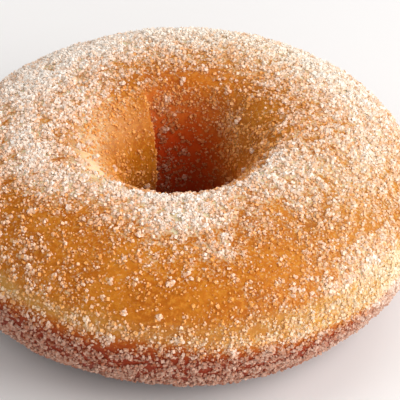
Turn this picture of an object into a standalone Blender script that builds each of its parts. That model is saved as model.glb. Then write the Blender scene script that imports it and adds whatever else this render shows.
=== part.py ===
"""Sugared ring doughnut, one solid: the fried ring with its largest lumps of sugar fused on.

The ring stands on the flat spot of its underside, with Z up and the hole's axis along Z.
It starts as a torus primitive whose points are moved to the section of a real ring: a broad
outer side, a short steep hole wall, a low crown and an underside flattened where it rests.
"""

import math
import random

import bmesh
import bpy
from mathutils import Euler, Matrix, Vector, noise

MM = 0.001

# The ring's section. The crown is the circle where the top is highest.
OUTER_RADIUS = 45.6 * MM
CROWN_RADIUS = 21.6 * MM
HOLE_RADIUS = 11.0 * MM
HEIGHT = 31.4 * MM
EQUATOR_HEIGHT = 18.2 * MM
UNDERSIDE_ROUNDNESS = 1.05

# How a hand-cut ring is uneven: (waves in a turn, height, direction of the first crest).
OUTLINE_WAVES = ((2, 0.11 * MM, -80.0), (3, 0.32 * MM, -143.0))
CROWN_WAVES = ((1, 0.39 * MM, 5.0),)
HOLE_WAVES = ((1, 0.18 * MM, 180.0), (2, 0.13 * MM, -139.0))
PROOF_LINE_WAVES = ((1, 0.47 * MM, -172.0), (2, 0.71 * MM, 102.0))

# The pale line left round the outside where the floating dough stayed out of the oil.
PROOF_LINE_HEIGHT = 20.6 * MM
PROOF_LINE_HALF_WIDTH = 2.3 * MM
PROOF_LINE_DEPTH = 0.6 * MM

# The fold in the hole's wall: a lobe of dough stands proud, ends in a ridge, and leaves a pocket.
RIDGE_ANGLE = 113.0
RIDGE_TURN = 5.0
LOBE_END_ANGLE = 225.0
LOBE_FADE = 40.0
LOBE_HEIGHT = 1.3 * MM
POCKET_END_ANGLE = 62.0
POCKET_FADE = 40.0
POCKET_DEPTH = 1.9 * MM
FOLD_TUBE_START = 100.0
FOLD_TUBE_FULL = 138.0

# Soft swellings of the crust.
SWELL_HEIGHT = 0.38 * MM
SWELL_LENGTH = 13.0 * MM

RING_STEPS = 90
TUBE_STEPS = 34

# Sugar lumps: a few crystals stuck together, the largest pieces of the coat. They lie rather flat.
LUMP_COUNT = 235
LUMP_SIZES = (0.9 * MM, 1.6 * MM)
LUMP_SIDES = (1.0, 0.8, 0.65)
LUMP_TILT = 30.0
LUMP_SUNK_SHARE = 0.06
LUMP_CLEARANCE = 0.9 * MM
LUMP_LEAST_HEIGHT = 2.4 * MM
LUMP_SEED = 11

# Where sugar lies thick and where crust is nearly bare: (name, angle round the ring, angle
# round the tube, spread round the ring, spread round the tube, change in the share covered).
SUGAR_SHARE = 0.30
SUGAR_PATCHES = (
    ("front rim of the hole", 268, 106, 42, 18, 0.68),
    ("left of the hole", 212, 88, 24, 15, 0.26),
    ("right of the hole", 332, 96, 22, 30, 0.38),
    ("left shoulder", 188, 74, 20, 10, 0.36),
    ("above the lobe", 152, 98, 26, 22, 0.24),
    ("back left shoulder", 142, 60, 32, 22, 0.44),
    ("back shoulder", 90, 54, 48, 24, 0.48),
    ("back side", 90, 24, 90, 22, 0.40),
    ("right back shoulder", 28, 56, 30, 22, 0.44),
    ("right shoulder", 350, 56, 14, 14, 0.22),
    ("front crown", 272, 80, 20, 9, 0.28),
    ("front streak", 283, 64, 6, 9, 0.22),
    ("right flank", 317, 24, 12, 10, 0.24),
    ("right side", 328, -10, 20, 26, 0.55),
    ("front flank", 268, 32, 22, 13, -0.20),
    ("front left flank", 234, 58, 20, 14, -0.10),
    ("front right flank", 296, 50, 14, 12, -0.06),
    ("behind the hole", 70, 108, 45, 14, -0.06),
    ("hole wall", 90, 170, 200, 34, -0.13),
    ("lobe in the hole", 150, 142, 40, 14, -0.10),
    ("lower band", 270, -28, 400, 26, 0.20),
    ("underside", 270, -80, 400, 28, -0.20),
)


def clear_scene():
    for item in list(bpy.data.objects):
        bpy.data.objects.remove(item)


def waves(table, ring_angle):
    """Sum of a few cosine waves round the ring."""
    return sum(
        height * math.cos(count * ring_angle - math.radians(crest))
        for count, height, crest in table
    )


def ease(value):
    """Smooth step from 0 to 1 for a value that runs from 0 to 1."""
    held = min(1.0, max(0.0, value))
    return held * held * (3.0 - 2.0 * held)


def fold_offset(ring_angle, tube_angle):
    """How far the fold moves the hole's wall: towards the axis on the lobe, away in the pocket."""
    turn = math.degrees(ring_angle) % 360.0
    side = abs(math.degrees(tube_angle))
    depth = ease((side - FOLD_TUBE_START) / (FOLD_TUBE_FULL - FOLD_TUBE_START))
    past_ridge = ease((turn - RIDGE_ANGLE) / RIDGE_TURN + 0.5)
    lobe = past_ridge * ease((LOBE_END_ANGLE - turn) / LOBE_FADE)
    pocket = (1.0 - past_ridge) * ease((turn - POCKET_END_ANGLE) / POCKET_FADE + 1.0)
    return depth * (lobe * LOBE_HEIGHT - pocket * POCKET_DEPTH)


def proof_line_height(ring_angle):
    return PROOF_LINE_HEIGHT + waves(PROOF_LINE_WAVES, ring_angle)


def crust_point(ring_angle, tube_angle):
    """The crust at an angle round the ring and one round its tube: 0 outside, 90 degrees on top."""
    across, up = math.cos(tube_angle), math.sin(tube_angle)
    if across > 0.0:
        reach = OUTER_RADIUS - CROWN_RADIUS + waves(OUTLINE_WAVES, ring_angle)
    else:
        reach = CROWN_RADIUS - HOLE_RADIUS + waves(HOLE_WAVES, ring_angle)
        reach += fold_offset(ring_angle, tube_angle)
    if up > 0.0:
        rise = HEIGHT - EQUATOR_HEIGHT + waves(CROWN_WAVES, ring_angle)
    else:
        rise = EQUATOR_HEIGHT * UNDERSIDE_ROUNDNESS
    radius = CROWN_RADIUS + reach * across
    height = EQUATOR_HEIGHT + rise * up
    from_line = (height - proof_line_height(ring_angle)) / PROOF_LINE_HALF_WIDTH
    if across > 0.0:
        radius -= PROOF_LINE_DEPTH * across * math.exp(-from_line * from_line)
    round_ring = Vector((math.cos(ring_angle), math.sin(ring_angle), 0.0))
    place = round_ring * radius + Vector((0.0, 0.0, height))
    outward = round_ring * across + Vector((0.0, 0.0, up))
    place += outward * SWELL_HEIGHT * noise.noise(place / SWELL_LENGTH)
    place.z = max(place.z, 0.0)
    return place


def crust_normal(ring_angle, tube_angle):
    step = 0.01
    round_ring = crust_point(ring_angle + step, tube_angle) - crust_point(ring_angle - step, tube_angle)
    round_tube = crust_point(ring_angle, tube_angle + step) - crust_point(ring_angle, tube_angle - step)
    return round_ring.cross(round_tube).normalized()


def make_material(name, colour, roughness):
    material = bpy.data.materials.new(name)
    material.use_nodes = True
    shader = material.node_tree.nodes["Principled BSDF"]
    shader.inputs["Base Color"].default_value = (*colour, 1.0)
    shader.inputs["Roughness"].default_value = roughness
    shader.inputs["Metallic"].default_value = 0.0
    return material


def make_ring(collection):
    """The fried ring: a torus whose points are moved onto the crust."""
    tube_radius = (OUTER_RADIUS - HOLE_RADIUS) / 2.0
    bpy.ops.mesh.primitive_torus_add(
        major_segments=RING_STEPS,
        minor_segments=TUBE_STEPS,
        major_radius=CROWN_RADIUS,
        minor_radius=tube_radius / 2.0,
    )
    ring = bpy.context.object
    ring.name = "doughnut"
    for vertex in ring.data.vertices:
        place = vertex.co
        ring_angle = math.atan2(place.y, place.x)
        tube_angle = math.atan2(place.z, math.hypot(place.x, place.y) - CROWN_RADIUS)
        vertex.co = crust_point(ring_angle, tube_angle)
    for owner in list(ring.users_collection):
        owner.objects.unlink(ring)
    collection.objects.link(ring)
    return ring


def turn_between(first, second):
    """Degrees between two angles round the ring."""
    return abs((first - second + 180.0) % 360.0 - 180.0)


def sugar_share(ring_angle, tube_angle):
    """The share of the crust that sugar covers there, from 0 to 1."""
    turn, side = math.degrees(ring_angle), math.degrees(tube_angle)
    share = SUGAR_SHARE
    for _, at_turn, at_side, turn_spread, side_spread, change in SUGAR_PATCHES:
        along = turn_between(turn, at_turn) / turn_spread
        around = turn_between(side, at_side) / side_spread
        share += change * math.exp(-along * along - around * around)
    return min(1.0, max(0.03, share))


def lump_places():
    """Spreads the lumps evenly, fewer where the crust is nearly bare. Gives (place, normal) pairs."""
    draw = random.Random(LUMP_SEED)
    longest_way = 2.0 * math.pi * OUTER_RADIUS
    chosen = []
    step = 0
    while len(chosen) < LUMP_COUNT:
        step += 1
        # The plastic-number sequence fills a square evenly.
        ring_angle = math.tau * ((0.5 + 0.7548776662 * step) % 1.0)
        tube_angle = math.tau * ((0.5 + 0.5698402910 * step) % 1.0) - math.pi
        place = crust_point(ring_angle, tube_angle)
        circle_share = math.tau * math.hypot(place.x, place.y) / longest_way
        if draw.random() > circle_share * sugar_share(ring_angle, tube_angle):
            continue
        if place.z < LUMP_LEAST_HEIGHT:
            continue
        if any((place - other).length < LUMP_SIZES[1] + LUMP_CLEARANCE for other, _ in chosen):
            continue
        chosen.append((place, crust_normal(ring_angle, tube_angle)))
    return chosen


def make_lump(collection, number, place, normal, draw):
    """One sugar lump: a small block with unequal sides, lying on the crust and half sunk in it."""
    size = draw.uniform(*LUMP_SIZES)
    tilt = math.radians(LUMP_TILT)
    loose = Euler((draw.uniform(-tilt, tilt), draw.uniform(-tilt, tilt), draw.uniform(0.0, math.tau)))
    turn = (normal.to_track_quat("Z", "Y").to_matrix() @ loose.to_matrix()).to_4x4()
    sides = Matrix.Diagonal((*(size * side for side in LUMP_SIDES), 1.0))
    centre = place + normal * size * LUMP_SUNK_SHARE
    shape = bmesh.new()
    bmesh.ops.create_cube(shape, size=1.0, matrix=Matrix.Translation(centre) @ turn @ sides)
    mesh = bpy.data.meshes.new(f"sugar_lump_{number}")
    shape.to_mesh(mesh)
    shape.free()
    collection.objects.link(bpy.data.objects.new(mesh.name, mesh))


def fuse(ring, collection):
    """Joins the lumps to the ring in one Boolean union, and removes their own objects."""
    union = ring.modifiers.new("sugar", "BOOLEAN")
    union.operation = "UNION"
    union.operand_type = "COLLECTION"
    union.collection = collection
    union.solver = "EXACT"
    bpy.context.view_layer.objects.active = ring
    bpy.ops.object.modifier_apply(modifier=union.name)
    for lump in list(collection.objects):
        bpy.data.objects.remove(lump)
    bpy.data.collections.remove(collection)


def main():
    clear_scene()
    doughnut = bpy.data.collections.new("sugared_doughnut")
    sugar = bpy.data.collections.new("sugar_lumps")
    bpy.context.scene.collection.children.link(doughnut)
    bpy.context.scene.collection.children.link(sugar)
    ring = make_ring(doughnut)
    draw = random.Random(LUMP_SEED + 1)
    for number, (place, normal) in enumerate(lump_places()):
        make_lump(sugar, number, place, normal, draw)
    fuse(ring, sugar)
    ring.data.materials.clear()
    ring.data.materials.append(make_material("fried_dough", (0.60, 0.24, 0.05), 0.55))
    ring.data.shade_smooth()
    ring.data.set_sharp_from_angle(angle=math.radians(35.0))


main()
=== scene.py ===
import math
import random

import bpy
import numpy as np
from mathutils import Euler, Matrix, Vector, noise


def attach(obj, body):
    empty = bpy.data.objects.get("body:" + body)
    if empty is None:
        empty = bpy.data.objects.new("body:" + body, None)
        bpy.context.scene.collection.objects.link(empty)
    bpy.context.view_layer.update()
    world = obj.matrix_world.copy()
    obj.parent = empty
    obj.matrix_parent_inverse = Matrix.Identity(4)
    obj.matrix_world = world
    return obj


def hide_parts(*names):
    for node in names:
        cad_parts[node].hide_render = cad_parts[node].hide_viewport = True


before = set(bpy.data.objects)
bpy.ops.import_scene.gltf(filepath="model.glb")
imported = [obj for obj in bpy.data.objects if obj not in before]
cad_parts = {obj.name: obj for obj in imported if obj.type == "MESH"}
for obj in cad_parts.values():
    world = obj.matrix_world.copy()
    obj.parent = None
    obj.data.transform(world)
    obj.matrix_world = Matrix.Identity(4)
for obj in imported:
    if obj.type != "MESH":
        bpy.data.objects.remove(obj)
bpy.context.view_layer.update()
MM = 0.001

# The fried ring. Soft yeast dough, cut as a ring, proved, and fried on one face and then the other.
# It floats high in the oil, so a pale line stays round its side. The face fried first and longest
# lies down: that crust is red-brown, the upper one golden.
OUTER_RADIUS = 45.6 * MM
CROWN_RADIUS = 21.6 * MM
HOLE_RADIUS = 11.0 * MM
HEIGHT = 31.4 * MM
EQUATOR_HEIGHT = 18.2 * MM
UNDERSIDE_ROUNDNESS = 1.05

# How a hand-cut ring is uneven: (waves in a turn, height, direction of the first crest).
OUTLINE_WAVES = ((2, 0.11 * MM, -80.0), (3, 0.32 * MM, -143.0))
CROWN_WAVES = ((1, 0.39 * MM, 5.0),)
HOLE_WAVES = ((1, 0.18 * MM, 180.0), (2, 0.13 * MM, -139.0))
PROOF_LINE_WAVES = ((1, 0.47 * MM, -172.0), (2, 0.71 * MM, 102.0))
PROOF_LINE_HEIGHT = 20.6 * MM
PROOF_LINE_HALF_WIDTH = 2.3 * MM
PROOF_LINE_DEPTH = 0.6 * MM

# The fold in the hole's wall: a lobe of dough stands proud, ends in a ridge, and leaves a pocket.
RIDGE_ANGLE = 113.0
RIDGE_TURN = 5.0
LOBE_END_ANGLE = 225.0
LOBE_FADE = 40.0
LOBE_HEIGHT = 1.3 * MM
POCKET_END_ANGLE = 62.0
POCKET_FADE = 40.0
POCKET_DEPTH = 1.9 * MM
FOLD_TUBE_START = 100.0
FOLD_TUBE_FULL = 138.0
SWELL_HEIGHT = 0.38 * MM
SWELL_LENGTH = 13.0 * MM

# The crust's own fine relief, which the solid leaves out: (height, length across).
WRINKLES = (0.10 * MM, 2.6 * MM)
BLISTERS = (0.05 * MM, 1.1 * MM)

# Faces round the ring and round its tube, before each is cut in four.
RING_STEPS = 200
TUBE_STEPS = 84


def waves(table, ring_angle):
    """Sum of a few cosine waves round the ring."""
    return sum(
        height * np.cos(count * ring_angle - math.radians(crest))
        for count, height, crest in table
    )


def ease(value):
    """Smooth step from 0 to 1 for values that run from 0 to 1."""
    held = np.clip(value, 0.0, 1.0)
    return held * held * (3.0 - 2.0 * held)


def noise_at(points):
    """Noise from -1 to 1 at each point, with bumps about one unit across."""
    return np.array([noise.noise(Vector(point)) for point in points])


def fold_offset(ring_angle, tube_angle):
    """How far the fold moves the hole's wall: towards the axis on the lobe, away in the pocket."""
    turn = np.degrees(ring_angle) % 360.0
    side = np.abs(np.degrees(tube_angle))
    depth = ease((side - FOLD_TUBE_START) / (FOLD_TUBE_FULL - FOLD_TUBE_START))
    past_ridge = ease((turn - RIDGE_ANGLE) / RIDGE_TURN + 0.5)
    lobe = past_ridge * ease((LOBE_END_ANGLE - turn) / LOBE_FADE)
    pocket = (1.0 - past_ridge) * ease((turn - POCKET_END_ANGLE) / POCKET_FADE + 1.0)
    return depth * (lobe * LOBE_HEIGHT - pocket * POCKET_DEPTH)


def proof_line_height(ring_angle):
    """Height of the pale line, which wanders a little as the ring rocked in the oil."""
    return PROOF_LINE_HEIGHT + waves(PROOF_LINE_WAVES, ring_angle)


def crust_points(ring_angle, tube_angle):
    """The solid's own crust at angles round the ring and round its tube: 0 outside, 90 on top."""
    across, up = np.cos(tube_angle), np.sin(tube_angle)
    outer_reach = OUTER_RADIUS - CROWN_RADIUS + waves(OUTLINE_WAVES, ring_angle)
    inner_reach = CROWN_RADIUS - HOLE_RADIUS + waves(HOLE_WAVES, ring_angle)
    inner_reach = inner_reach + fold_offset(ring_angle, tube_angle)
    rise = HEIGHT - EQUATOR_HEIGHT + waves(CROWN_WAVES, ring_angle)
    drop = EQUATOR_HEIGHT * UNDERSIDE_ROUNDNESS
    radius = CROWN_RADIUS + across * np.where(across > 0.0, outer_reach, inner_reach)
    height = EQUATOR_HEIGHT + up * np.where(up > 0.0, rise, drop)
    from_line = (height - proof_line_height(ring_angle)) / PROOF_LINE_HALF_WIDTH
    radius = radius - PROOF_LINE_DEPTH * np.maximum(across, 0.0) * np.exp(-from_line**2)
    east, north = np.cos(ring_angle), np.sin(ring_angle)
    places = np.stack([radius * east, radius * north, height], axis=1)
    outward = np.stack([across * east, across * north, up], axis=1)
    places += outward * SWELL_HEIGHT * noise_at(places / SWELL_LENGTH)[:, None]
    places[:, 2] = np.maximum(places[:, 2], 0.0)
    return places, outward


bpy.ops.mesh.primitive_torus_add(
    major_segments=RING_STEPS,
    minor_segments=TUBE_STEPS,
    major_radius=CROWN_RADIUS,
    minor_radius=CROWN_RADIUS / 2.0,
)
crust = bpy.context.object
crust.name = "crust"
finer = crust.modifiers.new("finer", "SUBSURF")
finer.subdivision_type = "SIMPLE"
finer.levels = finer.render_levels = 1
bpy.ops.object.modifier_apply(modifier=finer.name)
skin_start = np.array([vertex.co for vertex in crust.data.vertices])
from_axis = np.hypot(skin_start[:, 0], skin_start[:, 1])
skin_ring = np.arctan2(skin_start[:, 1], skin_start[:, 0])
skin_tube = np.arctan2(skin_start[:, 2], from_axis - CROWN_RADIUS)
skin_places, skin_outward = crust_points(skin_ring, skin_tube)
fine = sum(height * noise_at(skin_places / length) for height, length in (WRINKLES, BLISTERS))
skin_places += skin_outward * fine[:, None]
skin_places[:, 2] = np.maximum(skin_places[:, 2], 0.0)
crust.data.vertices.foreach_set("co", skin_places.astype(np.float32).ravel())
crust.data.update()
crust.data.shade_smooth()


def add(tree, kind, links=None, **settings):
    """Adds a node. Settings are its properties. Links give an input, by name or by number, a value,
    another node's output, or another node, which stands for the first output that it uses."""
    node = tree.nodes.new(kind)
    for name, value in settings.items():
        setattr(node, name, value)
    for name, value in (links or {}).items():
        if isinstance(name, int):
            socket = node.inputs[name]
        else:
            socket = next(s for s in node.inputs if s.name == name and s.enabled)
        if isinstance(value, bpy.types.Node):
            value = next(s for s in value.outputs if s.enabled)
        if isinstance(value, bpy.types.NodeSocket):
            tree.links.new(value, socket)
        else:
            socket.default_value = value
    return node


def linear(hex_colour):
    """An sRGB hex colour as linear red, green, blue and alpha."""
    parts = [int(hex_colour[place:place + 2], 16) / 255.0 for place in (1, 3, 5)]
    return (*(c / 12.92 if c <= 0.04045 else ((c + 0.055) / 1.055) ** 2.4 for c in parts), 1.0)


def store(mesh, name, values):
    """Keeps one number for each point of a mesh, for its material to read."""
    attribute = mesh.attributes.new(name, "FLOAT", "POINT")
    attribute.data.foreach_set("value", np.asarray(values, np.float32))


# How thick the sugar lies. The warm ring is rolled in sugar, which takes best where the crust is
# oily and catches on the shoulders and round the front of the hole. Each row: where, angle round
# the ring, angle round the tube, spread of each, and the change in the share that is covered.
SUGAR_SHARE = 0.30
LEAST_SUGAR_SHARE = 0.03
SUGAR_PATCHES = (
    ("front rim of the hole", 268, 106, 42, 18, 0.68),
    ("left of the hole", 212, 88, 24, 15, 0.26),
    ("right of the hole", 332, 96, 22, 30, 0.38),
    ("left shoulder", 188, 74, 20, 10, 0.36),
    ("above the lobe", 152, 98, 26, 22, 0.24),
    ("back left shoulder", 142, 60, 32, 22, 0.44),
    ("back shoulder", 90, 54, 48, 24, 0.48),
    ("back side", 90, 24, 90, 22, 0.40),
    ("right back shoulder", 28, 56, 30, 22, 0.44),
    ("right shoulder", 350, 56, 14, 14, 0.22),
    ("front crown", 272, 80, 20, 9, 0.28),
    ("front streak", 283, 64, 6, 9, 0.22),
    ("right flank", 317, 24, 12, 10, 0.24),
    ("right side", 328, -10, 20, 26, 0.55),
    ("front flank", 268, 32, 22, 13, -0.20),
    ("front left flank", 234, 58, 20, 14, -0.10),
    ("front right flank", 296, 50, 14, 12, -0.06),
    ("behind the hole", 70, 108, 45, 14, -0.06),
    ("hole wall", 90, 170, 200, 34, -0.13),
    ("lobe in the hole", 150, 142, 40, 14, -0.10),
    ("lower band", 270, -28, 400, 26, 0.20),
    ("underside", 270, -80, 400, 28, -0.20),
)


def turn_between(first, second):
    """Degrees between two angles round the ring."""
    return np.abs((first - second + 180.0) % 360.0 - 180.0)


def patches(table, ring_angle, tube_angle):
    """Sum of a table's soft patches at each place."""
    turn, side = np.degrees(ring_angle), np.degrees(tube_angle)
    total = np.zeros(len(turn))
    for _, at_turn, at_side, turn_spread, side_spread, change in table:
        along = turn_between(turn, at_turn) / turn_spread
        around = turn_between(side, at_side) / side_spread
        total += change * np.exp(-along * along - around * around)
    return total


def sugar_share(ring_angle, tube_angle):
    """The share of the crust that sugar covers there, from 0 to 1."""
    covered = SUGAR_SHARE + patches(SUGAR_PATCHES, ring_angle, tube_angle)
    return np.clip(covered, LEAST_SUGAR_SHARE, 1.0)


# Where the grains lie thicker or thinner than the lumps do. The last number is the change, as a
# share of what lies there.
GRAIN_PATCHES = (
    ("low at the right", 313, -8, 14, 16, -0.45),
    ("right side", 338, 22, 14, 16, -0.15),
    ("front crown", 272, 80, 18, 10, 0.20),
    ("left shoulder", 188, 74, 22, 12, 0.08),
    ("lobe in the hole", 150, 140, 26, 16, 0.40),
    ("pocket by the ridge", 98, 172, 14, 40, 1.20),
    ("right wall of the hole", 50, 150, 18, 22, 0.70),
)


def grain_share(ring_angle, tube_angle):
    """The share of the crust that grains cover there, from 0 to 1."""
    changed = 1.0 + patches(GRAIN_PATCHES, ring_angle, tube_angle)
    return np.clip(sugar_share(ring_angle, tube_angle) * changed, 0.0, 1.0)


# How the sugar heaps: in clumps with thin gaps between them, and in wider heaps on the left
# shoulder, which lay longest in the sugar.
CLUMP_LENGTH = 1.5 * MM
CLUMPS_LESS_ON_SHOULDER = 0.3
WIDE_HEAP_LENGTH = 3.4 * MM
WIDE_HEAP_ELSEWHERE = 0.1
WIDE_HEAP_ON_SHOULDER = 1.3
WIDE_HEAP_ANGLE = 188.0
WIDE_HEAP_SPREAD = 55.0
WIDE_HEAP_LOWEST = 20.0 * MM
WIDE_HEAP_FADE = 6.0 * MM
WIDE_HEAP_LEAST_SHARE = 0.35
WIDE_HEAP_SHARE_FADE = 0.3
NOISE_SHIFT = 40.0
# The coat's level and how far clumps swing it: on bare crust, and added by a full coat.
BARE_LEVEL = 0.34
COAT_LEVEL = 0.49
SHOULDER_LEVEL = 0.12
BARE_SWING = 0.5
COAT_SWING = 0.85


def heaping(places, ring_angle, thick):
    """From 0 in the gaps of the coat to 1 on its heaps, which are 1 to 3 mm across."""
    off_shoulder = turn_between(np.degrees(ring_angle), WIDE_HEAP_ANGLE) / WIDE_HEAP_SPREAD
    on_shoulder = np.exp(-(off_shoulder**2))
    on_shoulder *= ease((thick - WIDE_HEAP_LEAST_SHARE) / WIDE_HEAP_SHARE_FADE)
    on_shoulder *= ease((places[:, 2] - WIDE_HEAP_LOWEST) / WIDE_HEAP_FADE)
    wide = WIDE_HEAP_ELSEWHERE + WIDE_HEAP_ON_SHOULDER * on_shoulder
    clumps = (1.0 - CLUMPS_LESS_ON_SHOULDER * on_shoulder) * noise_at(places / CLUMP_LENGTH)
    clumps = clumps + wide * noise_at(places / WIDE_HEAP_LENGTH + NOISE_SHIFT)
    level = BARE_LEVEL + COAT_LEVEL * thick + SHOULDER_LEVEL * on_shoulder
    swing = BARE_SWING + COAT_SWING * thick
    return ease(level + swing * clumps)


# Left of the hole the coat is a film of fine sugar with few grains, its cream partly a painted
# sheen on the smooth crust there. The last number is the share of the crust's colour that they
# hide.
FILM_AND_SHEEN_PATCHES = (
    ("cream film", 215, 112, 24, 15, 1.0),
    ("golden film", 174, 118, 26, 14, 0.45),
    ("lobe film", 150, 138, 26, 14, 0.10),
)


def sugar_film_and_sheen(ring_angle, tube_angle):
    """The share of the crust that the film of fine sugar and its painted sheen hide, from 0 to 1.
    """
    return np.clip(patches(FILM_AND_SHEEN_PATCHES, ring_angle, tube_angle), 0.0, 1.0)


# Painted light: the crust is painted paler where the light from the right falls, on the right side,
# at the back right and on the hole's right wall. The last number is the share of the pale line's
# colour.
PAINTED_LIGHT_PATCHES = (
    ("right side", 338, 45, 30, 40, 0.22),
    ("back right", 60, 60, 40, 30, 0.2),
    ("right wall of the hole", 35, 148, 42, 26, 0.12),
)

# The pale line is widest at the right, where the ring floated highest, and strongest at the sides.
# It fades slowly into the golden crust above it and fast into the red-brown crust below.
LINE_LEAST_HALF_WIDTH = 1.4 * MM
LINE_MORE_HALF_WIDTH = 1.8 * MM
LINE_WIDEST_ANGLE = 350.0
LINE_STRENGTH = 0.5
LINE_STRENGTH_SWING = 0.3
LINE_FAINTEST_ANGLE = 266.0
LINE_LOWER_FADE = 1.2 * MM
LINE_UPPER_FADE = 2.4 * MM
LINE_DRIFT = 0.9 * MM
LINE_DRIFT_LENGTH = 5.0 * MM

# The red-brown crust: below the pale line, and deep in the hole, where it is partly the crust's own
# colour and partly painted shade that darkens it further down. The painted shade starts lower on
# the lit lobe and higher in the pocket, and the hole's right wall is painted lighter, as painted
# light.
BELOW_LINE_FADE = 5.0 * MM
BELOW_LINE_START = 0.15
BELOW_LINE_CURVE = 0.7
BELOW_LINE_FULL_HEIGHT = 9.0 * MM
LIGHTER_BELOW_LINE = 0.12
HOLE_DARKEST = 0.85
HOLE_DARK_HEIGHT = 27.0 * MM
HOLE_DARK_FADE = 17.0 * MM
LOBE_DARK_DROP = 12.0 * MM
POCKET_DARK_RISE = 8.5 * MM
PAINTED_LIGHT_WALL_ANGLE = 25.0
PAINTED_LIGHT_WALL_SPREAD = 35.0
PAINTED_LIGHT_WALL_CHANGE = 0.75


def pale_half_width(ring_angle):
    """Half the pale line's width: 1.4 mm at the left and 3.2 mm at the right."""
    at_right = ease(np.cos(ring_angle - math.radians(LINE_WIDEST_ANGLE)) + 0.1)
    return LINE_LEAST_HALF_WIDTH + LINE_MORE_HALF_WIDTH * at_right


def crust_kinds(places, ring_angle, tube_angle):
    """The share of pale line and painted light, and of red-brown crust and painted shade in the
    hole, at each place, from 0 to 1.
    """
    height = places[:, 2]
    rise = height - proof_line_height(ring_angle)
    half = pale_half_width(ring_angle)
    drift = LINE_DRIFT * noise_at(places / LINE_DRIFT_LENGTH)
    pale = ease((half + rise + drift * 0.5) / LINE_LOWER_FADE + 0.5)
    pale *= ease((half - rise + drift) / LINE_UPPER_FADE + 0.5)
    outside = ease(np.cos(tube_angle) * 4.0 + 0.5)
    two_sides = np.cos(2.0 * (ring_angle - math.radians(LINE_FAINTEST_ANGLE)))
    pale *= outside * (LINE_STRENGTH - LINE_STRENGTH_SWING * two_sides)
    # Painted light: paler where the light from the right falls.
    pale = np.maximum(pale, patches(PAINTED_LIGHT_PATCHES, ring_angle, tube_angle))
    below = ease((-half - rise - drift * 0.5) / BELOW_LINE_FADE + BELOW_LINE_START)
    below = below**BELOW_LINE_CURVE
    below *= 1.0 - LIGHTER_BELOW_LINE * ease(height / BELOW_LINE_FULL_HEIGHT)
    turn = np.degrees(ring_angle) % 360.0
    past_ridge = ease((turn - RIDGE_ANGLE) / RIDGE_TURN + 0.5)
    lobe = past_ridge * ease((LOBE_END_ANGLE - turn) / LOBE_FADE)
    pocket = (1.0 - past_ridge) * ease((turn - POCKET_END_ANGLE) / POCKET_FADE + 1.0)
    # Painted shade in the hole: darker further down, from lower on the lit lobe and higher in the
    # pocket.
    darkest_from = HOLE_DARK_HEIGHT - LOBE_DARK_DROP * lobe + POCKET_DARK_RISE * pocket
    in_hole = ease((darkest_from - height) / HOLE_DARK_FADE)
    # Painted light: the hole's right wall is painted lighter.
    off_painted_light_wall = turn_between(turn, PAINTED_LIGHT_WALL_ANGLE) / PAINTED_LIGHT_WALL_SPREAD
    in_hole *= HOLE_DARKEST - PAINTED_LIGHT_WALL_CHANGE * np.exp(-(off_painted_light_wall**2))
    return pale, np.where(np.cos(tube_angle) < 0.0, in_hole, below)


# The foot fried deepest and is browner still, and painted shade near the floor darkens it more. It
# is less brown at the right, as painted light where the light from the right falls.
FOOT_HEIGHT = 14.0 * MM
FOOT_FADE = 12.0 * MM
BROWN_ABOVE_FOOT = 0.45
PAINTED_LIGHT_AT_RIGHT = 0.4


def brown_and_foot_shade(places, dark):
    """How brown the red-brown crust is outside, with painted shade near the floor: from 0.45 high
    up to 1 at the foot, and less at the lit right.
    """
    outside = np.hypot(places[:, 0], places[:, 1]) > CROWN_RADIUS
    # Painted light makes the right less brown, and painted shade browns it towards the floor.
    by_side = 1.0 - PAINTED_LIGHT_AT_RIGHT * places[:, 0] / OUTER_RADIUS
    at_foot = ease((FOOT_HEIGHT - places[:, 2]) / FOOT_FADE)
    by_height = BROWN_ABOVE_FOOT + (1.0 - BROWN_ABOVE_FOOT) * at_foot
    return dark * outside * np.minimum(by_side * by_height, 1.0)


# The crust outside is a little browner all over than in the hole.
BROWNER_OUTSIDE = 0.38
# How much dust lies in the gaps and is added on the heaps, and the same where the coat is thick.
DUST_IN_GAPS = 0.46
DUST_ON_HEAPS = 0.70
THICK_COAT_IN_GAPS = 0.12
THICK_COAT_ON_HEAPS = 0.18
THICK_COAT_FROM = 0.5
THICK_COAT_FADE = 0.4
LESS_DUST_ON_DARK = 0.8

pale, dark = crust_kinds(skin_places, skin_ring, skin_tube)
share = grain_share(skin_ring, skin_tube)
heap = heaping(skin_places, skin_ring, share)
brown_and_shade = BROWNER_OUTSIDE * dark * (np.cos(skin_tube) > 0.0)
brown_and_shade += (1.0 - BROWNER_OUTSIDE) * brown_and_foot_shade(skin_places, dark)
thick_coat = ease((share - THICK_COAT_FROM) / THICK_COAT_FADE)
dust = share * (DUST_IN_GAPS + DUST_ON_HEAPS * heap)
dust += thick_coat * (THICK_COAT_IN_GAPS + THICK_COAT_ON_HEAPS * heap)
# The pale line's share also carries painted light on the right side.
store(crust.data, "pale_line_and_painted_light", pale)
# The red-brown share also carries painted shade deep in the hole.
store(crust.data, "red_brown_and_hole_shade", dark)
# The browning also carries painted shade near the floor.
store(crust.data, "brown_and_foot_shade", brown_and_shade)
store(crust.data, "dust", dust * (1.0 - LESS_DUST_ON_DARK * dark))
# The cream share also carries a painted sheen.
store(crust.data, "cream", sugar_film_and_sheen(skin_ring, skin_tube) * (1.0 - dark))

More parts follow.
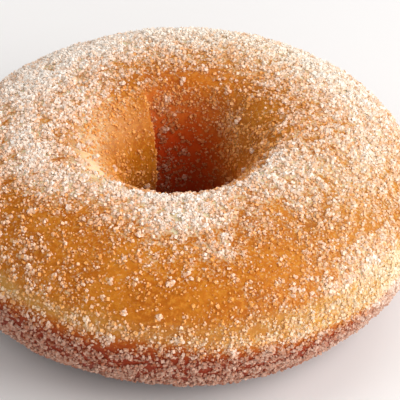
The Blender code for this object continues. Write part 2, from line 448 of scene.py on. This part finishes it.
# Fried dough crust, browned in oil: a matte, slightly oily skin whose thin starch film lets light
# in, so that it glows amber, with darker mottling and pin holes where bubbles broke.
GOLDEN_SHADES = ((0.32, "#A5560A"), (0.50, "#B8660D"), (0.70, "#CB7D1E"))
WETTED_GOLD = "#D88F30"
PALE_DOUGH_AND_PAINTED_LIGHT = "#D0AA63"
RED_BROWN_AND_HOLE_SHADE = "#C23812"
FOOT_BROWN_AND_SHADE = "#4A1406"
FILM_CREAM_AND_SHEEN = "#F4D8AA"
DUST_WHITE = "#F2E0BC"
MOTTLE_SIZE = 8.333 * MM
WETTED_SIZE = 0.7692 * MM
SPECK_SIZE = 0.4545 * MM
PORE_SIZE = 1.111 * MM
PORE_DEPTH = 0.15 * MM

crust_material = bpy.data.materials.new("fried yeast dough, golden crust")
crust_material.use_nodes = True
crust_tree = crust_material.node_tree
own_place = add(crust_tree, "ShaderNodeTexCoord").outputs["Object"]
# Mottling of about 8 mm, with finer flecks in it.
mottle = add(
    crust_tree,
    "ShaderNodeTexNoise",
    {"Vector": own_place, "Scale": 1.0 / MOTTLE_SIZE, "Detail": 5.0, "Roughness": 0.6},
)
golden = add(crust_tree, "ShaderNodeValToRGB", {"Fac": mottle})
golden.color_ramp.elements.new(0.5)
for stop, (at, shade) in zip(golden.color_ramp.elements, GOLDEN_SHADES):
    stop.position = at
    stop.color = linear(shade)
# Crystals that the oil wetted through, a little lighter than the crust they lie in.
wetted = add(
    crust_tree,
    "ShaderNodeTexNoise",
    {"Vector": own_place, "Scale": 1.0 / WETTED_SIZE, "Detail": 2.0, "Roughness": 0.7},
)
wetted_share = add(
    crust_tree,
    "ShaderNodeMapRange",
    {"Value": wetted, "From Min": 0.46, "From Max": 0.66, "To Min": 0.0, "To Max": 0.6},
)
upper_crust = add(
    crust_tree,
    "ShaderNodeMix",
    {"Factor": wetted_share, "A": golden, "B": linear(WETTED_GOLD)},
    data_type="RGBA",
)
pale_share = add(crust_tree, "ShaderNodeAttribute", attribute_name="pale_line_and_painted_light").outputs["Fac"]
# The pale line, with painted light on the right side.
with_line = add(
    crust_tree,
    "ShaderNodeMix",
    {"Factor": pale_share, "A": upper_crust, "B": linear(PALE_DOUGH_AND_PAINTED_LIGHT)},
    data_type="RGBA",
)
dark_share = add(crust_tree, "ShaderNodeAttribute", attribute_name="red_brown_and_hole_shade").outputs["Fac"]
# The red-brown crust, with painted shade deep in the hole.
with_dark = add(
    crust_tree,
    "ShaderNodeMix",
    {"Factor": dark_share, "A": with_line, "B": linear(RED_BROWN_AND_HOLE_SHADE)},
    data_type="RGBA",
)
brown_and_shade_share = add(crust_tree, "ShaderNodeAttribute", attribute_name="brown_and_foot_shade").outputs["Fac"]
# Browner towards the foot, partly painted shade near the floor.
with_foot = add(
    crust_tree,
    "ShaderNodeMix",
    {"Factor": brown_and_shade_share, "A": with_dark, "B": linear(FOOT_BROWN_AND_SHADE)},
    data_type="RGBA",
)
film_and_sheen_share = add(crust_tree, "ShaderNodeAttribute", attribute_name="cream").outputs["Fac"]
# The cream film, partly a painted sheen on the smooth crust left of the hole.
with_film_and_sheen = add(
    crust_tree,
    "ShaderNodeMix",
    {"Factor": film_and_sheen_share, "A": with_foot, "B": linear(FILM_CREAM_AND_SHEEN)},
    data_type="RGBA",
)
# Sugar dust between the grains, more where more sugar lies. Real dust is 0.1 mm and finer, and its
# specks are drawn about 0.45 mm across to show.
specks = add(
    crust_tree,
    "ShaderNodeTexNoise",
    {"Vector": own_place, "Scale": 1.0 / SPECK_SIZE, "Detail": 2.0},
)
dust_share = add(crust_tree, "ShaderNodeAttribute", attribute_name="dust").outputs["Fac"]
dusted = add(crust_tree, "ShaderNodeMath", {0: specks, 1: dust_share}, operation="ADD")
dust_cover = add(
    crust_tree,
    "ShaderNodeMapRange",
    {"Value": dusted, "From Min": 0.74, "From Max": 1.20, "To Min": 0.0, "To Max": 0.92},
)
crust_colour = add(
    crust_tree,
    "ShaderNodeMix",
    {"Factor": dust_cover, "A": with_film_and_sheen, "B": linear(DUST_WHITE)},
    data_type="RGBA",
)
# Pores of about 1 mm and finer.
pores = add(
    crust_tree,
    "ShaderNodeTexNoise",
    {"Vector": own_place, "Scale": 1.0 / PORE_SIZE, "Detail": 4.0, "Roughness": 0.6},
)
pore_relief = add(
    crust_tree,
    "ShaderNodeBump",
    {"Height": pores, "Strength": 0.5, "Distance": PORE_DEPTH},
)
skin_shader = crust_tree.nodes["Principled BSDF"]
crust_tree.links.new(crust_colour.outputs["Result"], skin_shader.inputs["Base Color"])
crust_tree.links.new(pore_relief.outputs["Normal"], skin_shader.inputs["Normal"])
skin_shader.inputs["Roughness"].default_value = 0.5
skin_shader.inputs["IOR"].default_value = 1.45
skin_shader.inputs["Specular IOR Level"].default_value = 0.15
skin_shader.inputs["Subsurface Weight"].default_value = 0.35
skin_shader.inputs["Subsurface Radius"].default_value = (1.0, 0.45, 0.2)
skin_shader.inputs["Subsurface Scale"].default_value = 2.0 * MM
crust.data.materials.clear()
crust.data.materials.append(crust_material)
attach(crust, "root")
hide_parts("doughnut")

# The sugar. Granulated sugar sticks to the warm crust: clear blocky crystals of 0.3 to 0.8 mm that
# look white together, and take the crust's colour where they lie alone. Each pair of colours is for
# crystals in a heap and for lone ones. At the foot some melted in the heat and turned brown, and
# the rest of their browning there is painted shade near the floor.
ON_GOLDEN = ("#FAF2E9", "#E8A256")
ON_PALE = ("#EADDBA", "#E6C080")
# Crystals on the red-brown crust, which also take its painted shade in the hole.
ON_RED_BROWN_AND_HOLE_SHADE = ("#DDBBA4", "#A35238")
MELTED_AND_SHADED = ("#A06C5A", "#6A3222")
MELTED_AND_SHADED_SHARE = 0.3

sugar_material = bpy.data.materials.new("granulated sugar, clear crystals")
sugar_material.use_nodes = True
sugar_tree = sugar_material.node_tree
on_pale = add(sugar_tree, "ShaderNodeAttribute", attribute_name="pale_line_and_painted_light").outputs["Fac"]
on_dark = add(sugar_tree, "ShaderNodeAttribute", attribute_name="red_brown_and_hole_shade").outputs["Fac"]
heaped_and_lone = []
for golden_one, pale_one, dark_one in zip(ON_GOLDEN, ON_PALE, ON_RED_BROWN_AND_HOLE_SHADE):
    above_line = add(
        sugar_tree,
        "ShaderNodeMix",
        {"Factor": on_pale, "A": linear(golden_one), "B": linear(pale_one)},
        data_type="RGBA",
    )
    all_round = add(
        sugar_tree,
        "ShaderNodeMix",
        {"Factor": on_dark, "A": above_line, "B": linear(dark_one)},
        data_type="RGBA",
    )
    heaped_and_lone.append(all_round)
heaped, lone = heaped_and_lone
lone_share = add(sugar_tree, "ShaderNodeAttribute", attribute_name="lone").outputs["Fac"]
above_foot = add(
    sugar_tree,
    "ShaderNodeMix",
    {"Factor": lone_share, "A": heaped, "B": lone},
    data_type="RGBA",
)
# Browner at the foot: melted crystals, and painted shade near the floor.
melted_and_shaded = add(
    sugar_tree,
    "ShaderNodeMix",
    {"Factor": lone_share, "A": linear(MELTED_AND_SHADED[0]), "B": linear(MELTED_AND_SHADED[1])},
    data_type="RGBA",
)
melted_and_shaded_share = add(sugar_tree, "ShaderNodeAttribute", attribute_name="brown_and_foot_shade").outputs["Fac"]
crystal_colour = add(
    sugar_tree,
    "ShaderNodeMix",
    {"Factor": melted_and_shaded_share, "A": above_foot, "B": melted_and_shaded},
    data_type="RGBA",
)
sugar_shader = sugar_tree.nodes["Principled BSDF"]
sugar_tree.links.new(crystal_colour.outputs["Result"], sugar_shader.inputs["Base Color"])
sugar_shader.inputs["Roughness"].default_value = 0.4
sugar_shader.inputs["Specular IOR Level"].default_value = 0.25
sugar_shader.inputs["IOR"].default_value = 1.54

face_points = np.array([face.vertices[:] for face in crust.data.polygons])
face_ring = skin_ring[face_points[:, 0]]
face_tube = skin_tube[face_points[:, 0]]
face_area = np.array([face.area for face in crust.data.polygons])
face_normal = np.array([face.normal[:] for face in crust.data.polygons])
face_place = skin_places[face_points[:, 0]]

# A crystal's shape: its corners for sides of 1, and its faces. Small ones are mostly broken chips.
BLOCK = (
    np.array([(x, y, z) for x in (-0.5, 0.5) for y in (-0.5, 0.5) for z in (-0.5, 0.5)]),
    np.array([(0, 1, 3, 2), (4, 6, 7, 5), (0, 4, 5, 1), (2, 3, 7, 6), (0, 2, 6, 4), (1, 5, 7, 3)]),
)
CHIP_CORNERS = ((0.7, 0, 0), (-0.7, 0, 0), (0, 0.7, 0), (0, -0.7, 0), (0, 0, 0.7), (0, 0, -0.7))
CHIP_UPPER_FACES = ((0, 2, 4), (2, 1, 4), (1, 3, 4), (3, 0, 4))
CHIP_LOWER_FACES = ((2, 0, 5), (1, 2, 5), (3, 1, 5), (0, 3, 5))
CHIP = (np.array(CHIP_CORNERS), np.array(CHIP_UPPER_FACES + CHIP_LOWER_FACES))


def turned_at_random(rng, count):
    """Rotation matrices of random unit quaternions."""
    w, x, y, z = rng.normal(size=(4, count))
    size = np.sqrt(w * w + x * x + y * y + z * z)
    w, x, y, z = w / size, x / size, y / size, z / size
    rows = (
        (1 - 2 * (y * y + z * z), 2 * (x * y - w * z), 2 * (x * z + w * y)),
        (2 * (x * y + w * z), 1 - 2 * (x * x + z * z), 2 * (y * z - w * x)),
        (2 * (x * z - w * y), 2 * (y * z + w * x), 1 - 2 * (x * x + y * y)),
    )
    return np.moveaxis(np.array(rows), 2, 0)


# A crystal's two shorter sides, in parts of the longest, and how far wear moves its corners.
CRYSTAL_SECOND_SIDE = (0.7, 0.95)
CRYSTAL_THIRD_SIDE = (0.5, 0.85)
CORNER_WEAR = 0.15
LEAST_FLOOR_GAP = 0.02 * MM


def add_crystals(name, shape, centres, sizes, lone_share, ring_angle, tube_angle, rng):
    """One mesh of many crystals with unequal sides and uneven corners, turned at random."""
    corners, corner_faces = shape
    count, corner_count = len(centres), len(corners)
    second_side = rng.uniform(*CRYSTAL_SECOND_SIDE, count)
    third_side = rng.uniform(*CRYSTAL_THIRD_SIDE, count)
    sides = np.stack([np.ones(count), second_side, third_side], axis=1)
    uneven = 1.0 + rng.uniform(-CORNER_WEAR, CORNER_WEAR, (count, corner_count, 3))
    shapes = corners * uneven * (sizes[:, None] * sides)[:, None, :]
    points = centres[:, None, :] + np.einsum("nij,nkj->nki", turned_at_random(rng, count), shapes)
    lowest = points[:, :, 2].min(axis=1)
    points[:, :, 2] += np.maximum(LEAST_FLOOR_GAP - lowest, 0.0)[:, None]
    faces = np.arange(count)[:, None, None] * corner_count + corner_faces[None]
    corners_a_face = faces.shape[2]
    mesh = bpy.data.meshes.new(name)
    mesh.from_pydata(
        points.reshape(-1, 3).tolist(), [], faces.reshape(-1, corners_a_face).tolist()
    )
    mesh.materials.append(sugar_material)
    pale, dark = crust_kinds(centres, ring_angle, tube_angle)
    store(mesh, "lone", np.repeat(lone_share, corner_count))
    store(mesh, "red_brown_and_hole_shade", np.repeat(dark, corner_count))
    store(mesh, "pale_line_and_painted_light", np.repeat(pale, corner_count))
    # The foot's painted shade darkens the crystals there too.
    store(mesh, "brown_and_foot_shade", np.repeat(MELTED_AND_SHADED_SHARE * brown_and_foot_shade(centres, dark), corner_count))
    piece = bpy.data.objects.new(name, mesh)
    bpy.context.scene.collection.objects.link(piece)
    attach(piece, "root")


LONE_ON_BARE_CRUST = 1.35
LESS_LONE_ON_HEAP = 0.35
LONE_SPREAD = (-0.4, 0.3)


def how_lone(share, heap, rng):
    """From 0 for a crystal in a white heap to 1 for one that the crust's colour shines through."""
    alone = LONE_ON_BARE_CRUST - share - LESS_LONE_ON_HEAP * heap
    return np.clip(alone + rng.uniform(*LONE_SPREAD, len(share)), 0.0, 1.0)


# How grains cling: more than in step with the coat's thickness and its heaps, few in its gaps.
COAT_CURVE = 1.5
HEAP_CURVE = 1.3
CLING_IN_GAPS = 0.08
CLING_ON_BARE = 0.35
# More grains caught on the turn below the pale line and on the left shoulder, and fewer stayed in
# the film, near the floor and on the underside.
LOW_TURN_ANGLE = -11.0
LOW_TURN_SPREAD = 9.0
LOW_TURN_MORE = 0.5
SHOULDER_ANGLE = 195.0
SHOULDER_SPREAD = 45.0
SHOULDER_MORE = 0.3
SHOULDER_LEAST_SHARE = 0.5
SHOULDER_SHARE_FADE = 0.3
FILM_FEWER = 0.85
LEAST_GRAIN_HEIGHT = 0.8 * MM
UNDERSIDE_NORMAL = -0.7
UNDERSIDE_SHARE = 0.5
# A grain's middle stands this part of its size above the crust, and more where grains pile up.
GRAIN_RISE = 0.12
PILE_HEIGHT = 0.6 * MM
PILE_CURVE = 1.5
# In the hole the grains are wet with oil, and the crust's colour shows more in them.
HOLE_NORMAL = -0.3
LONE_MORE_IN_HOLE = 0.4


def scatter(name, shape, count, sizes, seed, spread=1.0, least=0.0):
    """Strews crystals over the crust, thick where grain_share is high, and in its heaps. A spread
    under 1 strews them more evenly, and least is added to the share everywhere."""
    rng = np.random.default_rng(seed)
    thick = grain_share(face_ring, face_tube)
    heap = heaping(face_place, face_ring, thick)
    clinging = (thick + least) ** (COAT_CURVE * spread) * (CLING_IN_GAPS + heap) ** HEAP_CURVE
    clinging += CLING_ON_BARE * least
    off_low_turn = (np.degrees(face_tube) - LOW_TURN_ANGLE) / LOW_TURN_SPREAD
    low_turn = np.exp(-(off_low_turn**2)) * (np.cos(face_tube) > 0.0)
    off_shoulder = turn_between(np.degrees(face_ring), SHOULDER_ANGLE) / SHOULDER_SPREAD
    shoulder = np.exp(-(off_shoulder**2))
    shoulder *= ease((thick - SHOULDER_LEAST_SHARE) / SHOULDER_SHARE_FADE)
    weight = face_area * clinging
    weight *= 1.0 + LOW_TURN_MORE * low_turn
    weight *= 1.0 - FILM_FEWER * sugar_film_and_sheen(face_ring, face_tube)
    weight *= 1.0 + SHOULDER_MORE * shoulder
    weight *= face_place[:, 2] > LEAST_GRAIN_HEIGHT
    weight *= np.where(face_normal[:, 2] < UNDERSIDE_NORMAL, UNDERSIDE_SHARE, 1.0)
    chosen = rng.choice(len(weight), count, p=weight / weight.sum())
    four = skin_places[face_points[chosen]]
    u, v = rng.random((2, count, 1))
    one_edge = four[:, 0] * (1 - u) + four[:, 1] * u
    other_edge = four[:, 3] * (1 - u) + four[:, 2] * u
    on_skin = one_edge * (1 - v) + other_edge * v
    crystal = rng.uniform(*sizes, count)
    pile = rng.random(count) ** PILE_CURVE * heap[chosen] ** 2 * thick[chosen] * PILE_HEIGHT
    centres = on_skin + face_normal[chosen] * (crystal * GRAIN_RISE + pile)[:, None]
    in_hole = np.cos(face_tube[chosen]) < HOLE_NORMAL
    lone_share = how_lone(thick[chosen], heap[chosen], rng) + LONE_MORE_IN_HOLE * in_hole
    at_ring, at_tube = face_ring[chosen], face_tube[chosen]
    add_crystals(name, shape, centres, crystal, lone_share, at_ring, at_tube, rng)


scatter("coarse_sugar", BLOCK, 12000, (0.48 * MM, 0.68 * MM), 1)
scatter("medium_sugar", BLOCK, 16500, (0.40 * MM, 0.52 * MM), 2)
scatter("small_sugar", BLOCK, 16500, (0.30 * MM, 0.42 * MM), 3, 0.85, 0.08)
scatter("fine_sugar", CHIP, 24500, (0.26 * MM, 0.38 * MM), 4, 0.75, 0.12)

# Sugar lumps: crystals that moisture stuck together in the bowl, the largest pieces of the coat.
# They are the solid's own lumps, placed and turned by the same rule, each made of its crystals.
LUMP_COUNT = 235
LUMP_SIZES = (0.9 * MM, 1.6 * MM)
LUMP_SIDES = (1.0, 0.8, 0.65)
LUMP_TILT = 30.0
LUMP_SUNK_SHARE = 0.06
LUMP_CLEARANCE = 0.9 * MM
LUMP_LEAST_HEIGHT = 2.4 * MM
LUMP_SEED = 11
TRIED_PLACES = 9000
# The plastic-number sequence fills a square evenly.
EVEN_STEPS = (0.7548776662, 0.5698402910)
CRYSTALS_A_LUMP = 14
CRYSTAL_SEED = 6
CRYSTAL_SIZES = (0.38 * MM, 0.6 * MM)
# Where a lump's crystals lie, in parts of its sides, and how far the crust's colour shows in them.
BLOCK_LOW = (-0.38, -0.38, -0.1)
BLOCK_HIGH = (0.38, 0.38, 0.3)
LUMP_LONE_SHARE = 0.8


def crust_normals(ring_angle, tube_angle):
    """The crust's outward directions, from the places a small step to each side."""
    step = 0.01
    ahead, _ = crust_points(ring_angle + step, tube_angle)
    behind, _ = crust_points(ring_angle - step, tube_angle)
    above, _ = crust_points(ring_angle, tube_angle + step)
    below, _ = crust_points(ring_angle, tube_angle - step)
    across = np.cross(ahead - behind, above - below)
    return across / np.linalg.norm(across, axis=1)[:, None]


def lump_angles():
    """Spreads the lumps evenly, fewer where the crust is nearly bare. Gives their angles."""
    draw = random.Random(LUMP_SEED)
    steps = np.arange(1, TRIED_PLACES)
    ring_angle = math.tau * ((0.5 + EVEN_STEPS[0] * steps) % 1.0)
    tube_angle = math.tau * ((0.5 + EVEN_STEPS[1] * steps) % 1.0) - math.pi
    places, _ = crust_points(ring_angle, tube_angle)
    reach = np.hypot(places[:, 0], places[:, 1]) / OUTER_RADIUS
    accepted = reach * sugar_share(ring_angle, tube_angle)
    chosen = []
    for number, place in enumerate(places):
        if draw.random() > accepted[number] or place[2] < LUMP_LEAST_HEIGHT:
            continue
        nearest = np.linalg.norm(places[chosen] - place, axis=1).min(initial=math.inf)
        if nearest < LUMP_SIZES[1] + LUMP_CLEARANCE:
            continue
        chosen.append(number)
        if len(chosen) == LUMP_COUNT:
            break
    return ring_angle[chosen], tube_angle[chosen]


lump_ring, lump_tube = lump_angles()
lump_place, _ = crust_points(lump_ring, lump_tube)
lump_normal = crust_normals(lump_ring, lump_tube)
draw = random.Random(LUMP_SEED + 1)
rng = np.random.default_rng(CRYSTAL_SEED)
tilt = math.radians(LUMP_TILT)
crystal_places = []
for place, normal in zip(lump_place, lump_normal):
    size = draw.uniform(*LUMP_SIZES)
    loose = Euler(
        (draw.uniform(-tilt, tilt), draw.uniform(-tilt, tilt), draw.uniform(0.0, math.tau))
    )
    turn = np.array(Vector(normal).to_track_quat("Z", "Y").to_matrix() @ loose.to_matrix())
    in_block = rng.uniform(BLOCK_LOW, BLOCK_HIGH, (CRYSTALS_A_LUMP, 3))
    centre = place + normal * size * LUMP_SUNK_SHARE
    crystal_places.append(centre + (in_block * size * np.array(LUMP_SIDES)) @ turn.T)
lump_share = sugar_share(lump_ring, lump_tube)
add_crystals(
    "sugar_lumps",
    BLOCK,
    np.concatenate(crystal_places),
    rng.uniform(*CRYSTAL_SIZES, LUMP_COUNT * CRYSTALS_A_LUMP),
    LUMP_LONE_SHARE * how_lone(np.repeat(lump_share, CRYSTALS_A_LUMP), 1.0, rng),
    np.repeat(lump_ring, CRYSTALS_A_LUMP),
    np.repeat(lump_tube, CRYSTALS_A_LUMP),
    rng,
)

# The floor: a plain pale board, painted matte, so that it takes a soft shadow and shows no
# reflection. It isn't part of the doughnut.
FLOOR_SIDE = 3.0
bpy.ops.mesh.primitive_plane_add(size=FLOOR_SIDE)
floor = bpy.context.object
floor.name = "floor"
floor_material = bpy.data.materials.new("pale painted board, matte")
floor_material.use_nodes = True
floor_shader = floor_material.node_tree.nodes["Principled BSDF"]
floor_shader.inputs["Base Color"].default_value = linear("#F5F4F4")
floor_shader.inputs["Roughness"].default_value = 0.6
floor.data.materials.append(floor_material)

# The light: a wide soft box to the right that does most, weaker ones in front, at the back and at
# the left, and a white room.
LIGHT_AIM = Vector((0.0, 0.0, 15.0 * MM))
LIGHT_COLOUR = (1.0, 0.985, 0.97)
ROOM_COLOUR = (1.0, 0.985, 0.975, 1.0)
ROOM_STRENGTH = 0.15


def add_soft_box(name, place, size, power):
    """A square soft box that faces the doughnut: its side in metres and its power in watts."""
    light = bpy.data.lights.new(name, "AREA")
    light.shape = "SQUARE"
    light.size = size
    light.energy = power
    light.color = LIGHT_COLOUR
    box = bpy.data.objects.new(name, light)
    box.location = Vector(place)
    box.rotation_euler = (LIGHT_AIM - box.location).to_track_quat("-Z", "Y").to_euler()
    bpy.context.scene.collection.objects.link(box)


add_soft_box("soft_box_right", (0.85, -0.26, 0.62), 1.0, 13.3)
add_soft_box("soft_box_front", (0.20, -0.86, 0.44), 0.8, 3.1)
add_soft_box("soft_box_back", (0.25, 0.6, 0.95), 0.9, 3.8)
add_soft_box("soft_box_left", (-0.70, -0.10, 0.80), 0.8, 2.2)
world = bpy.data.worlds.new("white_room")
world.use_nodes = True
background = world.node_tree.nodes["Background"]
background.inputs["Color"].default_value = ROOM_COLOUR
background.inputs["Strength"].default_value = ROOM_STRENGTH
bpy.context.scene.world = world
bpy.context.scene.view_settings.view_transform = "Standard"

# The camera looks along +Y and 38 degrees down, from half a metre off. The picture's middle lies a
# little to the right of the doughnut's and below it.
CAMERA_ELEVATION = math.radians(37.86)
CAMERA_DISTANCE = 506.0 * MM
CAMERA_LENS = 244.4
AIM_RIGHT = 4.06 * MM
AIM_DOWN = 1.74 * MM
camera_data = bpy.data.cameras.new("camera")
camera_data.lens = CAMERA_LENS
camera = bpy.data.objects.new("camera", camera_data)
back = Vector((0.0, -math.cos(CAMERA_ELEVATION), math.sin(CAMERA_ELEVATION)))
right = Vector((1.0, 0.0, 0.0))
up = Vector((0.0, math.sin(CAMERA_ELEVATION), math.cos(CAMERA_ELEVATION)))
middle = Vector((0.0, 0.0, EQUATOR_HEIGHT))
camera.location = middle + back * CAMERA_DISTANCE
aim = middle + right * AIM_RIGHT - up * AIM_DOWN
camera.rotation_euler = (aim - camera.location).to_track_quat("-Z", "Y").to_euler()
bpy.context.scene.collection.objects.link(camera)
bpy.context.scene.camera = camera
